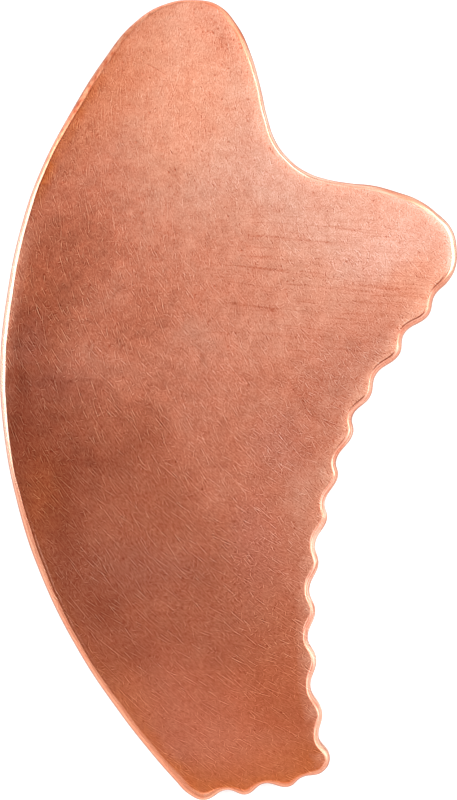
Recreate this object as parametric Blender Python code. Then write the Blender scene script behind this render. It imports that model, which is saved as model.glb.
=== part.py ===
# A gua sha tool cut from one sheet of solid copper.
# The plate has a long curved back edge, a rounded head, a hollow neck, a nose, and a comb edge
# of filed notches that runs down from the nose and round the toe. Its whole rim is rounded over.
# Metres, +Z up. The plate lies on its back face with the middle of its box at the origin:
# +Y points to the head, +X to the nose, and +Z out of the front face.

import bpy
import bmesh
from math import hypot, radians

# Driving dimensions
mm = 0.001
plate_length = 110.0 * mm    # toe to head
plate_width = 62.8 * mm      # back edge to nose
plate_thickness = 3.0 * mm
rim_radius = 1.0 * mm        # the rounded rim, on both faces
notch_depth = 1.0 * mm       # a full notch, below the line between its two teeth
weld_distance = 0.005 * mm
widest_rim_share = 0.49      # of the thickness, so that the two rounded rims never meet

# How finely the curves are drawn, and the angle past which an edge is shaded sharp
steps_between_points = 5
rim_steps = 3
sharp_angle_degrees = 40

# Outline, clockwise seen from the front. A point is (share of the width from the back edge,
# share of the length from the toe).
head_shares = [
    (0.357, 0.994),
    (0.434, 1.000),
    (0.479, 0.993),
    (0.518, 0.969),
    (0.550, 0.931),
    (0.570, 0.892),
]
neck_shares = [
    (0.585, 0.854),
    (0.603, 0.824),
    (0.633, 0.801),
    (0.671, 0.785),
    (0.716, 0.776),
    (0.766, 0.771),
]
brow_shares = [
    (0.817, 0.768),
    (0.868, 0.760),
    (0.915, 0.750),
    (0.957, 0.733),
]
nose_shares = [
    (0.987, 0.715),
    (0.999, 0.693),
    (0.997, 0.666),
]

# Teeth, each with the notch that is filed after it: (tooth tip's share of the width, its share of
# the length, the notch's place between this tip and the next, its share of the notch depth)
side_comb_shares = [
    (0.982, 0.649, 0.50, 0.63),
    (0.938, 0.606, 0.60, 1.16),
    (0.874, 0.557, 0.58, 1.06),
    (0.810, 0.504, 0.63, 1.06),
    (0.773, 0.459, 0.73, 0.90),
    (0.740, 0.406, 0.69, 0.84),
    (0.716, 0.353, 0.61, 0.96),
    (0.697, 0.296, 0.57, 1.02),
    (0.690, 0.237, 0.57, 1.10),
    (0.692, 0.177, 0.53, 1.21),
    (0.705, 0.111, 0.55, 1.06),
]
toe_corner_share = (0.722, 0.054)
toe_comb_shares = [
    (0.707, 0.036, 0.60, 0.45),
    (0.633, 0.017, 0.57, 1.03),
    (0.539, 0.007, 0.44, 0.96),
]
toe_end_share = (0.446, 0.000)

back_shares = [
    (0.414, 0.007),
    (0.381, 0.026),
    (0.329, 0.060),
    (0.262, 0.109),
    (0.174, 0.184),
    (0.088, 0.283),
    (0.037, 0.372),
    (0.007, 0.464),
    (0.000, 0.548),
    (0.015, 0.632),
    (0.045, 0.715),
    (0.088, 0.786),
    (0.157, 0.862),
    (0.229, 0.927),
    (0.289, 0.969),
]

# Colour and finish of the polished, slightly tarnished copper
copper_colour = (0.72, 0.34, 0.23, 1.0)
copper_roughness = 0.35


def clear_scene():
    for old_object in list(bpy.data.objects):
        bpy.data.objects.remove(old_object)


def make_collection(name):
    collection = bpy.data.collections.new(name)
    bpy.context.scene.collection.children.link(collection)
    return collection


def make_copper():
    material = bpy.data.materials.new("copper")
    material.use_nodes = True
    shader = material.node_tree.nodes["Principled BSDF"]
    shader.inputs["Base Color"].default_value = copper_colour
    shader.inputs["Roughness"].default_value = copper_roughness
    shader.inputs["Metallic"].default_value = 1.0
    material.diffuse_color = copper_colour
    return material


def place(point_share):
    # A pair of shares as a point on the plate, whose box is centred on the origin
    across_share, along_share = point_share
    middle_share = 0.5
    x = (across_share - middle_share) * plate_width
    y = (along_share - middle_share) * plate_length
    return x, y


def comb(tooth_shares, last_tip):
    # Each tip, followed by its notch: a point between this tip and the next, moved into the plate
    points = []
    tips = [place(row[:2]) for row in tooth_shares] + [last_tip]
    for row, tip, next_tip in zip(tooth_shares, tips, tips[1:]):
        between_share, depth_share = row[2:]
        chord_x = next_tip[0] - tip[0]
        chord_y = next_tip[1] - tip[1]
        chord = hypot(chord_x, chord_y)
        depth = notch_depth * depth_share
        notch_x = tip[0] + chord_x * between_share + chord_y / chord * depth
        notch_y = tip[1] + chord_y * between_share - chord_x / chord * depth
        points.append(tip)
        points.append((notch_x, notch_y))
    return points


def plate_outline():
    points = [place(pair) for pair in head_shares + neck_shares + brow_shares + nose_shares]
    points += comb(side_comb_shares, place(toe_corner_share))
    points.append(place(toe_corner_share))
    points += comb(toe_comb_shares, place(toe_end_share))
    points.append(place(toe_end_share))
    points += [place(pair) for pair in back_shares]
    return points


def make_plate(name, material, collection):
    # A flat filled curve through the outline, thickened, with its rim rounded inside the outline
    rim = min(rim_radius, plate_thickness * widest_rim_share)
    curve = bpy.data.curves.new(name, "CURVE")
    curve.dimensions = "2D"
    curve.fill_mode = "BOTH"
    curve.resolution_u = steps_between_points
    curve.bevel_depth = rim
    curve.bevel_resolution = rim_steps
    curve.offset = -rim
    curve.extrude = plate_thickness / 2 - rim

    points = plate_outline()
    spline = curve.splines.new("BEZIER")
    spline.use_cyclic_u = True
    spline.bezier_points.add(len(points) - 1)
    for knot, (x, y) in zip(spline.bezier_points, points):
        knot.co = (x, y, 0.0)
        knot.handle_left_type = "AUTO"
        knot.handle_right_type = "AUTO"

    drawing = bpy.data.objects.new(name + "_drawing", curve)
    drawing.location.z = plate_thickness / 2
    collection.objects.link(drawing)
    bpy.context.view_layer.update()

    # The curve's two faces are loose, so the plate is its mesh with those faces welded on
    evaluated = drawing.evaluated_get(bpy.context.evaluated_depsgraph_get())
    mesh = bpy.data.meshes.new_from_object(evaluated)
    mesh.name = name
    shell = bmesh.new()
    shell.from_mesh(mesh)
    bmesh.ops.remove_doubles(shell, verts=shell.verts, dist=weld_distance)
    shell.to_mesh(mesh)
    shell.free()
    mesh.shade_smooth()
    mesh.set_sharp_from_angle(angle=radians(sharp_angle_degrees))
    mesh.materials.clear()
    mesh.materials.append(material)

    plate = bpy.data.objects.new(name, mesh)
    plate.matrix_world = drawing.matrix_world
    collection.objects.link(plate)
    bpy.data.objects.remove(drawing)
    return plate


clear_scene()
tool = make_collection("gua_sha_tool")
make_plate("scraping_plate", make_copper(), tool)
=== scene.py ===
from math import cos, pi, radians, sin

import bpy
import numpy as np
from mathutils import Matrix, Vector


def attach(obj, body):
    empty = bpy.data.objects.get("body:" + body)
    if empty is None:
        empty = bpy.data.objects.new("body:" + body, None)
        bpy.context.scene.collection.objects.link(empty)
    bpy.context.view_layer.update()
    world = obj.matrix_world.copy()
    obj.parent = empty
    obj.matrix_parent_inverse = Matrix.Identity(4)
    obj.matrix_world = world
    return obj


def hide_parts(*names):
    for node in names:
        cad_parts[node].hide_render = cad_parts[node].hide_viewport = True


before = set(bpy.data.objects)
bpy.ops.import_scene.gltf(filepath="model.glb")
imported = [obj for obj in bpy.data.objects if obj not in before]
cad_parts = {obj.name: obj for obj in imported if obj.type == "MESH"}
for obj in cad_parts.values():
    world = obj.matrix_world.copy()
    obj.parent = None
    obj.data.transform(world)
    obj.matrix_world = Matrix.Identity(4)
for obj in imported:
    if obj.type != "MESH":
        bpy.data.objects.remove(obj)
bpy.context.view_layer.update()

mm = 0.001
scene = bpy.context.scene

# Camera: straight down on the front face, with the head at the top of the picture
cameraSetup = {
    "lens": 85.0,                  # mm, on a sensor 36 mm high
    "sensor": 36.0,
    "clipStart": 10.0 * mm,
    "pictureHeight": 110.0 * mm,   # what the picture's height covers
    "outlineLevel": 2.0 * mm,      # how high the outline that shows from above lies
}

# Light: a big softbox on each side, a panel high up to the right, a sky that darkens overhead.
# Azimuth is counted from +X towards +Y and zenith from straight up, in degrees.
softboxes = {
    "leftBox": {"azimuth": 165, "zenith": 58, "away": 0.70, "size": (0.56, 0.56), "radiance": 2.6},
    "rightBox": {"azimuth": 22, "zenith": 50, "away": 0.75, "size": (0.95, 0.44), "radiance": 2.5},
    "highPanel": {"azimuth": 46, "zenith": 25, "away": 0.80, "size": (0.50, 0.50), "radiance": 1.6},
    "lowPanel": {"azimuth": -80, "zenith": 32, "away": 0.80, "size": (0.50, 0.28), "radiance": 1.5},
}
sky = {
    "horizonLight": 1.0,
    "overheadLight": 0.305,
    "darkensFrom": 0.75,           # how high a direction points, from 0 at the horizon to 1
    "darkensTo": 0.97,
}
floorSetup = {
    "size": 6.0,
    "colour": (0.74, 0.74, 0.74, 1.0),
    "roughness": 0.9,
    "lift": 0.45,                  # added for the camera and in reflections
}

# The plate, in the same lengths and shares of its box as the solid
plateShape = {
    "length": 110.0 * mm,
    "width": 62.8 * mm,
    "thickness": 3.0 * mm,
    "rimHeight": 1.0 * mm,         # how far down the rounding of the rim reaches, on both faces
    "notchDepth": 1.0 * mm,
    "wayPoints": 600,              # along each side, from the top of the head to the toe's corner
    "curveSteps": 60,              # between two points of the outline
    "handleDivisor": 2.5614,       # of the outline's curve, as in the solid's
    "rimSteps": 12,
    "faceRings": [0.08, 0.20, 0.40, 0.70, 1.05, 1.45],   # mm in from the rim
    "ringsEvened": (0.20, 0.32),   # mm, for each mm in from the outline and for its square
    "acrossSteps": 30,
    "easing": 0.004,               # of the way round, over which the rim's changes are eased
    "widthEvened": 4.0,            # mm, of the rim's width where the last ring follows it
    "waveHeights": (0.020, 0.004), # mm, of the broad and the close ones
    "waveStart": 2.0,              # mm in from the rim, where the waves are in full
    "insideWay": [0.0, 8.0, 7.0],  # what rimWay holds inside the last ring
    "bakeMapSpan": 136.0 * mm,     # what the bake map covers from side to side
    "bakeMapMiddles": ((0.255, 0.5), (0.745, 0.5)),   # of the front and of the back
}
# What the file left uneven in the rim's width, as shares of it, with the painted shade and highlight
# that follow how the rim faces
filing = {
    "sharpestTurn": 0.6,           # radians per mm, past which a bend counts no more
    "turnReach": 0.5,              # mm, over which a bend is evened
    "toeNotches": 0.55,            # lost in a hollow of the toe
    "otherNotches": 0.10,          # gained in any hollow
    "ripples": [(0.035, 2.3, 0), (0.025, 0.9, 1)],   # share, length in mm, phase
    "lowerFlanks": 0.30,           # gained on the lower teeth's flanks that face down
    "flanksFace": -62,             # degrees
    # each rises from where it begins, by how much for one more
    "flankRise": (0.55, 4),        # as the rim faces down
    "upperCombShade": (0.86, 10),       # painted shade, as the rim faces down
    "upperCombLit": (-0.80, 2.2),   # painted highlight, as the rim faces up
    "tipRise": (0, 2.2),           # as the rim bends outwards
    "tipsLostOnToe": 0.75,
    "tipsRubbed": 0.25,
}
# Stretches of the outline by share of the way round: begins, is full, still is, has ended
stretches = {
    "upperComb": (0.215, 0.225, 0.32, 0.37),
    "comb": (0.222, 0.232, 0.490, 0.505),
    "lowerComb": (0.33, 0.37, 0.48, 0.50),
    "toe": (0.495, 0.505, 0.550, 0.558),
    "nose": (0.150, 0.180, 0.222, 0.240),
    "teeth": (0.23, 0.56),         # where the outline has tips
}

# The outline, clockwise from the top of the head: share across from the back edge, share along
# from the toe. A tooth adds the place of its notch on the way to the next tip, and its depth.
headPoints = [(0.357, 0.994), (0.434, 1.000), (0.479, 0.993), (0.518, 0.969), (0.550, 0.931),
              (0.570, 0.892)]
neckPoints = [(0.585, 0.854), (0.603, 0.824), (0.633, 0.801), (0.671, 0.785), (0.716, 0.776),
              (0.766, 0.771)]
browPoints = [(0.817, 0.768), (0.868, 0.760), (0.915, 0.750), (0.957, 0.733)]
nosePoints = [(0.987, 0.715), (0.999, 0.693), (0.997, 0.666)]
sideTeeth = [
    (0.982, 0.649, 0.50, 0.63), (0.938, 0.606, 0.60, 1.16), (0.874, 0.557, 0.58, 1.06),
    (0.810, 0.504, 0.63, 1.06), (0.773, 0.459, 0.73, 0.90), (0.740, 0.406, 0.69, 0.84),
    (0.716, 0.353, 0.61, 0.96), (0.697, 0.296, 0.57, 1.02), (0.690, 0.237, 0.57, 1.10),
    (0.692, 0.177, 0.53, 1.21), (0.705, 0.111, 0.55, 1.06),
]
toeCorner = (0.722, 0.054)
toeTeeth = [(0.707, 0.036, 0.60, 0.45), (0.633, 0.017, 0.57, 1.03), (0.539, 0.007, 0.44, 0.96)]
toeEnd = (0.446, 0.000)
backPoints = [(0.414, 0.007), (0.381, 0.026), (0.329, 0.060), (0.262, 0.109), (0.174, 0.184),
              (0.088, 0.283), (0.037, 0.372), (0.007, 0.464), (0.000, 0.548), (0.015, 0.632),
              (0.045, 0.715), (0.088, 0.786), (0.157, 0.862), (0.229, 0.927), (0.289, 0.969)]

# How the rim was filed and rubbed, and the light and shade painted on it: share of the way round,
# width of the rounded band in mm, its fullness (2 is a quarter round, 1 a straight chamfer), how far
# down it reaches as a share of the rim's height, how far the face rolls off to it in mm, dirt and
# painted shade along its inner line, warmth of the face beside it (less than nothing where a painted
# glow lies there instead), how pale the rim is rubbed and painted lit (less than nothing where it is
# left dull and painted shaded)
rimColumns = ["share", "width", "fullness", "height", "rollOff", "dirtAndShade", "warmth", "rubbedAndLit"]
rimRows = [
    (0.000, 0.62, 1.80, 1.0, 0.01, 0.10, 0.2, 0.08), (0.016, 0.62, 1.80, 1.0, 0.03, 0.00, 0.2, 0.00),
    (0.030, 0.80, 1.80, 1.0, 0.03, 0.00, 0.1, -0.10), (0.046, 1.00, 1.70, 0.7, 0.04, 0.00, 0.2, -0.20),
    (0.062, 0.68, 1.75, 1.0, 0.04, 0.00, -0.1, 0.60), (0.115, 0.70, 1.75, 1.0, 0.04, 0.00, -0.1, 0.65),
    (0.140, 0.74, 1.75, 1.0, 0.04, 0.00, -0.2, 0.50), (0.160, 0.88, 1.60, 0.85, 0.01, 0.00, 0.0, 0.40),
    (0.176, 0.90, 1.75, 0.8, 0.02, 0.00, 0.0, 0.00), (0.190, 0.92, 1.85, 0.75, 0.045, 0.00, 0.0, 0.45),
    (0.205, 0.98, 1.90, 0.75, 0.035, 0.00, 0.0, 0.80), (0.216, 1.04, 1.90, 0.75, 0.05, 0.00, 0.0, 0.75),
    (0.228, 0.88, 1.75, 0.8, 0.03, 0.00, -0.5, 0.20), (0.240, 0.76, 1.50, 0.8, 0.03, 0.00, -1.0, 0.08),
    (0.330, 0.76, 1.50, 0.8, 0.03, 0.00, -1.0, 0.08), (0.370, 0.74, 1.48, 0.72, 0.02, 0.00, -0.6, 0.26),
    (0.450, 0.72, 1.48, 0.72, 0.02, 0.00, -0.5, 0.28),
    (0.480, 0.72, 1.48, 0.72, 0.02, 0.00, -0.2, 0.26), (0.493, 0.74, 1.55, 0.8, 0.01, 0.00, 0.3, 0.18),
    (0.510, 0.72, 1.72, 0.9, 0.00, 0.02, 0.9, 0.05), (0.545, 0.86, 1.72, 1.0, 0.00, 0.02, 0.9, 0.05),
    (0.560, 1.25, 1.65, 1.0, 0.01, 0.00, 1.0, 0.00), (0.575, 1.20, 1.30, 1.0, 0.03, 0.00, 0.8, 0.00),
    (0.600, 1.10, 1.30, 1.0, 0.03, 0.10, 0.6, 0.00), (0.634, 0.94, 1.40, 1.0, 0.02, 0.12, 0.3, 0.00),
    (0.675, 0.88, 1.45, 1.0, 0.01, 0.28, 0.2, 0.05), (0.709, 1.03, 1.40, 1.0, 0.01, 0.50, 0.2, 0.15),
    (0.735, 0.88, 1.60, 1.0, 0.01, 0.40, 0.1, 0.20), (0.752, 0.80, 1.70, 1.0, 0.01, 0.35, 0.0, 0.65),
    (0.775, 0.84, 1.70, 1.0, 0.02, 0.30, 0.0, 0.95), (0.800, 0.96, 1.70, 1.0, 0.10, 0.10, -0.5, 0.95),
    (0.850, 0.92, 1.70, 1.0, 0.12, 0.05, -0.8, 0.90), (0.872, 0.86, 1.75, 1.0, 0.08, 0.30, -0.2, 0.80),
    (0.890, 0.80, 1.75, 1.0, 0.02, 0.60, 1.2, 0.60), (0.920, 0.80, 1.75, 1.0, 0.01, 0.50, 1.3, -0.10),
    (0.945, 1.00, 1.75, 1.0, 0.00, 0.30, 0.7, -0.70), (0.972, 0.92, 1.80, 1.0, 0.00, 0.15, 0.4, -1.00),
]


def place(shares):
    # shares of the box, measured from its middle
    box = [plateShape["width"], plateShape["length"]]
    return (np.atleast_2d(np.array(shares, float)) - 0.5) * box


def teethAndNotches(rows, lastTip):
    # a notch is a point on the line between two tips, moved into the plate by its depth
    rows = np.array(rows)
    tips = place(rows[:, :2])
    chord = np.vstack([tips[1:], place(lastTip)]) - tips
    inward = np.column_stack([chord[:, 1], -chord[:, 0]]) / np.hypot(*chord.T)[:, None]
    notches = tips + chord * rows[:, 2:3] + inward * rows[:, 3:4] * plateShape["notchDepth"]
    return np.stack([tips, notches], axis=1).reshape(-1, 2)


def smoothCurve(points, steps):
    # cubic arcs through the points; at each point the tangent halves the angle of its two chords
    # and a handle is its chord over the divisor and the length of the summed chord directions
    before = points - np.roll(points, 1, axis=0)
    after = np.roll(points, -1, axis=0) - points
    beforeLength = np.hypot(*before.T)[:, None]
    afterLength = np.hypot(*after.T)[:, None]
    tangent = before / beforeLength + after / afterLength
    spread = np.hypot(*tangent.T)[:, None] * plateShape["handleDivisor"]
    handleIn = points - tangent * beforeLength / spread
    handleOut = points + tangent * afterLength / spread
    t = (np.arange(steps) / steps)[None, :, None]
    start = points[:, None]
    end = np.roll(points, -1, axis=0)[:, None]
    pull = handleOut[:, None]
    push = np.roll(handleIn, -1, axis=0)[:, None]
    arcs = (1 - t)**3 * start + 3 * (1 - t)**2 * t * pull + 3 * (1 - t) * t**2 * push + t**3 * end
    return arcs.reshape(-1, 2)


def outlineWay():
    # the outline walked in even steps, down the right side, then by the toe up the back edge
    knots = np.vstack([
        place(headPoints + neckPoints + browPoints + nosePoints),
        teethAndNotches(sideTeeth, toeCorner), place(toeCorner),
        teethAndNotches(toeTeeth, toeEnd), place(toeEnd), place(backPoints),
    ])
    fine = smoothCurve(knots, plateShape["curveSteps"])
    closed = np.vstack([fine, fine[:1]])
    way = np.concatenate([[0], np.cumsum(np.hypot(*np.diff(closed, axis=0).T))])
    cornerWay = way[np.argmin(np.hypot(*(fine - place(toeCorner)).T))]
    steps = plateShape["wayPoints"]
    stops = np.concatenate([
        np.linspace(0, cornerWay, steps, endpoint=False),
        np.linspace(cornerWay, way[-1], steps, endpoint=False),
    ])
    points = np.column_stack([np.interp(stops, way, closed[:, axis]) for axis in (0, 1)])
    return points, stops, way[-1]


def smoothRound(values, reach):
    # Gaussian smoothing round the closed way, by damping its frequencies; reach is in steps
    frequency = np.fft.fftfreq(values.shape[-2])[:, None]
    damping = np.exp(-2 * (pi * frequency * reach) ** 2)
    return np.fft.ifft(np.fft.fft(values, axis=-2) * damping, axis=-2).real


def inwardNormals(curves):
    # the way's direction turned a quarter to the right, which is into the plate
    along = np.roll(curves, -1, axis=-2) - np.roll(curves, 1, axis=-2)
    along /= np.linalg.norm(along, axis=-1, keepdims=True)
    return np.stack([along[..., 1], -along[..., 0]], axis=-1)


def rimAt(stops, total, column):
    # a row's value at its share of the way, joined by straight lines and then eased
    rows = np.array(rimRows)
    column = rimColumns.index(column)
    values = np.interp(stops / total, rows[:, 0], rows[:, column], period=1.0)
    return smoothRound(values[:, None], len(stops) * plateShape["easing"])[:, 0]


def onOutline(name, stops, total, levels=(0, 1, 1, 0)):
    # straight lines between the levels at a stretch's four shares of the way
    return np.interp(stops / total, stretches[name], levels)


def rise(values, start, slope):
    # from nothing at the start to one, in a straight line
    return np.clip((values - start) * slope, 0, 1)


def swell(x, y):
    # long low waves left by hand finishing: two crossed sines of 34 mm and two of 13 mm
    u = x / mm
    v = y / mm
    broad = np.sin(u / 5.4 + 0.7 * np.sin(v / 9.0) + 0.4) * np.sin(v / 6.1 + 1.1)
    close = np.sin(u / 2.1 + 0.9 * np.sin(v / 4.7)) * np.sin(v / 2.4 + 0.6 * np.sin(u / 5.3))
    broadHeight, closeHeight = plateShape["waveHeights"]
    return (broadHeight * broad + closeHeight * close) * mm


def makePlate(name, material):
    # A profile carried along the outline: out from the back face, round the back rim, up the
    # wall, round the front rim and in over the front face. At inward distance w(1 - cos^(2/f) a)
    # the rim has risen by h sin^(2/f) a, for a from 0 to a quarter turn. From there the face
    # rises by the roll-off d, with d (1 - s)^n still to go at share s. Inside the last ring
    # each face is a grid of lines from the right side to the left side.
    points, stops, total = outlineWay()
    count = len(points)
    half = plateShape["wayPoints"]
    thickness = plateShape["thickness"]
    rimHeight = plateShape["rimHeight"] * rimAt(stops, total, "height")
    step = total / count
    width = rimAt(stops, total, "width") * mm
    # the file took a little more here and there, and less in the notches
    ahead = np.roll(points, -1, axis=0) - points
    turning = np.gradient(np.unwrap(np.arctan2(ahead[:, 1], ahead[:, 0]))) / (step / mm)
    sharpest = filing["sharpestTurn"]
    hollow = np.clip(turning, -sharpest, sharpest)[:, None]
    hollow = smoothRound(hollow, filing["turnReach"] * mm / step)[:, 0]
    atToe = onOutline("toe", stops, total)
    lost = filing["toeNotches"] * atToe * hollow.clip(0, 0.8)
    gained = filing["otherNotches"] * hollow.clip(0, 0.5)
    width *= 1 - lost + gained
    width *= 1 + sum(share * np.sin(stops / mm / length + phase)
                     for share, length, phase in filing["ripples"])
    flanksFace = radians(filing["flanksFace"])
    downward = -inwardNormals(points) @ [cos(flanksFace), sin(flanksFace)]
    lowComb = onOutline("lowerComb", stops, total)
    width *= 1 + filing["lowerFlanks"] * lowComb * rise(downward, *filing["flankRise"])
    fullness = rimAt(stops, total, "fullness")
    drop = rimAt(stops, total, "rollOff") * mm

    angle = np.linspace(0, pi / 2, plateShape["rimSteps"] + 1)[:, None]
    rimInward = width * (1 - np.cos(angle).clip(0) ** (2 / fullness))
    rimRise = rimHeight * np.sin(angle) ** (2 / fullness)
    inner = np.array(plateShape["faceRings"])[:, None] * mm
    evened = smoothRound(width[:, None], plateShape["widthEvened"] * mm / step)[:, 0]
    innerInward = inner + width + (evened - width) * inner / inner[-1]
    # the roll-off is squared, and shorter at the nose
    shortness = onOutline("nose", stops, total, (2, 3.2, 3.2, 2))
    rollOff = drop * (1 - inner / inner[-1]) ** shortness
    inward = np.vstack([rimInward, innerInward])
    level = np.vstack([thickness - rimHeight - drop + rimRise, thickness - rollOff])

    # each ring is the outline evened the more, the further in it lies
    meanInward = inward.mean(axis=1) / mm
    byDistance, bySquare = plateShape["ringsEvened"]
    reach = (byDistance * meanInward + bySquare * meanInward ** 2) * mm / step
    centre = smoothRound(np.broadcast_to(points, (len(inward), count, 2)), reach[:, None, None])
    ring = centre + inwardNormals(centre) * inward[..., None]

    # waves fade in from the rim's inner line
    clear = (inward - width) / mm
    wave = swell(ring[..., 0], ring[..., 1]) * np.clip(clear / plateShape["waveStart"], 0, 1)
    front = np.dstack([ring, (level + wave)[..., None]])
    back = np.dstack([ring, (thickness - level - wave)[..., None]])
    wall = np.dstack([ring[:1], np.full((1, count, 1), thickness / 2)])
    shell = np.vstack([back[::-1], wall, front])
    rows = len(shell)
    middleRow = len(back)

    # lines across: from the right side's last ring to the left side's
    acrossSteps = plateShape["acrossSteps"]
    t = (np.arange(1, acrossSteps + 1) / (acrossSteps + 1))[None, :, None]
    lastRing = ring[-1]
    rightSide = lastRing[1:half, None]
    leftSide = lastRing[:half:-1, None]
    inside = rightSide + (leftSide - rightSide) * t
    insideWave = swell(inside[..., 0], inside[..., 1])[..., None]
    frontInside = np.dstack([inside, thickness + insideWave])
    backInside = np.dstack([inside, -insideWave])

    shellId = np.arange(rows * count).reshape(rows, count)
    insideCount = (half - 1) * acrossSteps
    insideId = np.arange(insideCount).reshape(half - 1, acrossSteps)
    places = np.vstack([part.reshape(-1, 3) for part in (shell, frontInside, backInside)])

    a = shellId[:-1]
    b = np.roll(shellId, -1, axis=1)
    shellQuads = np.stack([a, shellId[1:], b[1:], b[:-1]], axis=-1).reshape(-1, 4)

    def sheet(edgeRow, firstId):
        # the grid inside an edge ring, closed by a fan at the head and one at the toe
        body = np.hstack([edgeRow[1:half, None], insideId + firstId, edgeRow[:half:-1, None]])
        quads = np.stack([body[:-1, :-1], body[:-1, 1:], body[1:, 1:], body[1:, :-1]], axis=-1)
        top = np.stack([np.full(acrossSteps + 1, edgeRow[0]), body[0, 1:], body[0, :-1]], axis=-1)
        low = np.stack([np.full(acrossSteps + 1, edgeRow[half]), body[-1, :-1], body[-1, 1:]], axis=-1)
        return quads.reshape(-1, 4), np.vstack([top, low])

    frontQuads, frontTriangles = sheet(shellId[-1], rows * count)
    backQuads, backTriangles = sheet(shellId[0], rows * count + insideCount)
    backQuads = backQuads[:, ::-1]
    backTriangles = backTriangles[:, ::-1]

    mesh = bpy.data.meshes.new(name)
    faces = [shellQuads, frontQuads, backQuads, frontTriangles, backTriangles]
    mesh.from_pydata(places, [], [face for block in faces for face in block.tolist()])
    mesh.polygons.foreach_set("use_smooth", np.ones(len(mesh.polygons), bool))

    # bake map: each face laid flat with its half of the rim folded out around it
    profile = np.stack([inward, level], axis=-1)
    pieceLength = np.linalg.norm(np.diff(profile, axis=0), axis=-1)
    fromWall = np.vstack([np.zeros((1, count)), np.cumsum(pieceLength, axis=0)])
    rimRow = plateShape["rimSteps"]
    foldedOut = fromWall[rimRow] - fromWall[:rimRow]
    flat = ring.copy()
    flat[:rimRow] = ring[rimRow] - inwardNormals(centre[rimRow]) * foldedOut[..., None]
    wallHalf = thickness / 2 - rimHeight
    wallFlat = ring[rimRow] - inwardNormals(centre[rimRow]) * (fromWall[rimRow] + wallHalf)[:, None]
    flatShell = np.vstack([flat[::-1], wallFlat[None], flat]).reshape(-1, 2)
    flatPlaces = np.vstack([flatShell, inside.reshape(-1, 2), inside.reshape(-1, 2)])
    mapScale = 1 / plateShape["bakeMapSpan"]
    frontMiddle, backMiddle = plateShape["bakeMapMiddles"]
    frontMap = flatPlaces * mapScale + frontMiddle
    backMap = flatPlaces * [-mapScale, mapScale] + backMiddle
    corners = np.empty(len(mesh.loops), np.int32)
    mesh.loops.foreach_get("vertex_index", corners)
    shellBackCorners = middleRow * count * 4
    isBack = np.zeros(len(corners), bool)
    isBack[:shellBackCorners] = True
    start = len(shellQuads) * 4 + len(frontQuads) * 4
    isBack[start:start + len(backQuads) * 4] = True
    isBack[len(corners) - len(backTriangles) * 3:] = True
    bakeMap = np.where(isBack[:, None], backMap[corners], frontMap[corners])
    mesh.uv_layers.new(name="OFBake").data.foreach_set("uv", bakeMap.ravel().astype(np.float32))

    # rimWay, in mm: way round the outline, distance in from the outline, distance in from the
    # rim's inner line, which is less than nothing on the rim
    way = np.broadcast_to(stops / mm, (len(inward), count))
    own = np.stack([way, inward / mm, clear], axis=-1)
    ownShell = np.vstack([own[::-1], own[:1], own]).reshape(-1, 3)
    ownInside = np.tile(plateShape["insideWay"], (insideCount * 2, 1))
    rimWay = np.vstack([ownShell, ownInside])[corners]
    lastColumn = (corners[:len(shellQuads) * 4] % count == 0).reshape(-1, 4)
    atSeam = np.zeros(len(corners), bool)
    seamQuad = np.arange(len(shellQuads)) % count == count - 1
    atSeam[:len(shellQuads) * 4] = (lastColumn & seamQuad[:, None]).ravel()
    rimWay[atSeam, 0] = total / mm
    attribute = mesh.attributes.new("rimWay", "FLOAT_VECTOR", "CORNER")
    attribute.data.foreach_set("vector", rimWay.ravel().astype(np.float32))
    # rimCareAndLight: dirt and painted shade, more of the shade under the first teeth, warmth (less
    # than nothing for a painted glow), rubbed pale and painted highlight, and the teeth's tips
    dirtAndShade = rimAt(stops, total, "dirtAndShade")
    upperComb = onOutline("upperComb", stops, total)
    dirtAndShade = dirtAndShade + upperComb * rise(downward, *filing["upperCombShade"])
    firstTip, lastTip = stretches["teeth"]
    hasTips = (stops / total > firstTip) & (stops / total < lastTip)
    tips = rise(-hollow, *filing["tipRise"]) * hasTips
    tips *= 1 - filing["tipsLostOnToe"] * atToe
    warmth = rimAt(stops, total, "warmth")
    # the comb's rim is rubbed at its tips, and painted paler as a highlight on its upper part where it
    # faces up and across
    comb = onOutline("comb", stops, total, (0, 0.35, 0.04, 0))
    rubbedAndLit = rimAt(stops, total, "rubbedAndLit")
    rubbedAndLit = rubbedAndLit + comb * rise(-downward, *filing["upperCombLit"])
    rubbedAndLit = rubbedAndLit + filing["tipsRubbed"] * tips
    careAndLight = np.stack([dirtAndShade.clip(0, 1), warmth, rubbedAndLit, tips], axis=-1)
    careAndLight = np.vstack([np.tile(careAndLight, (rows, 1)), np.zeros((insideCount * 2, 4))])
    attribute = mesh.attributes.new("rimCareAndLight", "FLOAT_COLOR", "POINT")
    attribute.data.foreach_set("color", careAndLight.ravel().astype(np.float32))

    mesh.materials.append(material)
    mesh.update()
    plate = bpy.data.objects.new(name, mesh)
    scene.collection.objects.link(plate)
    return plate
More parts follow.
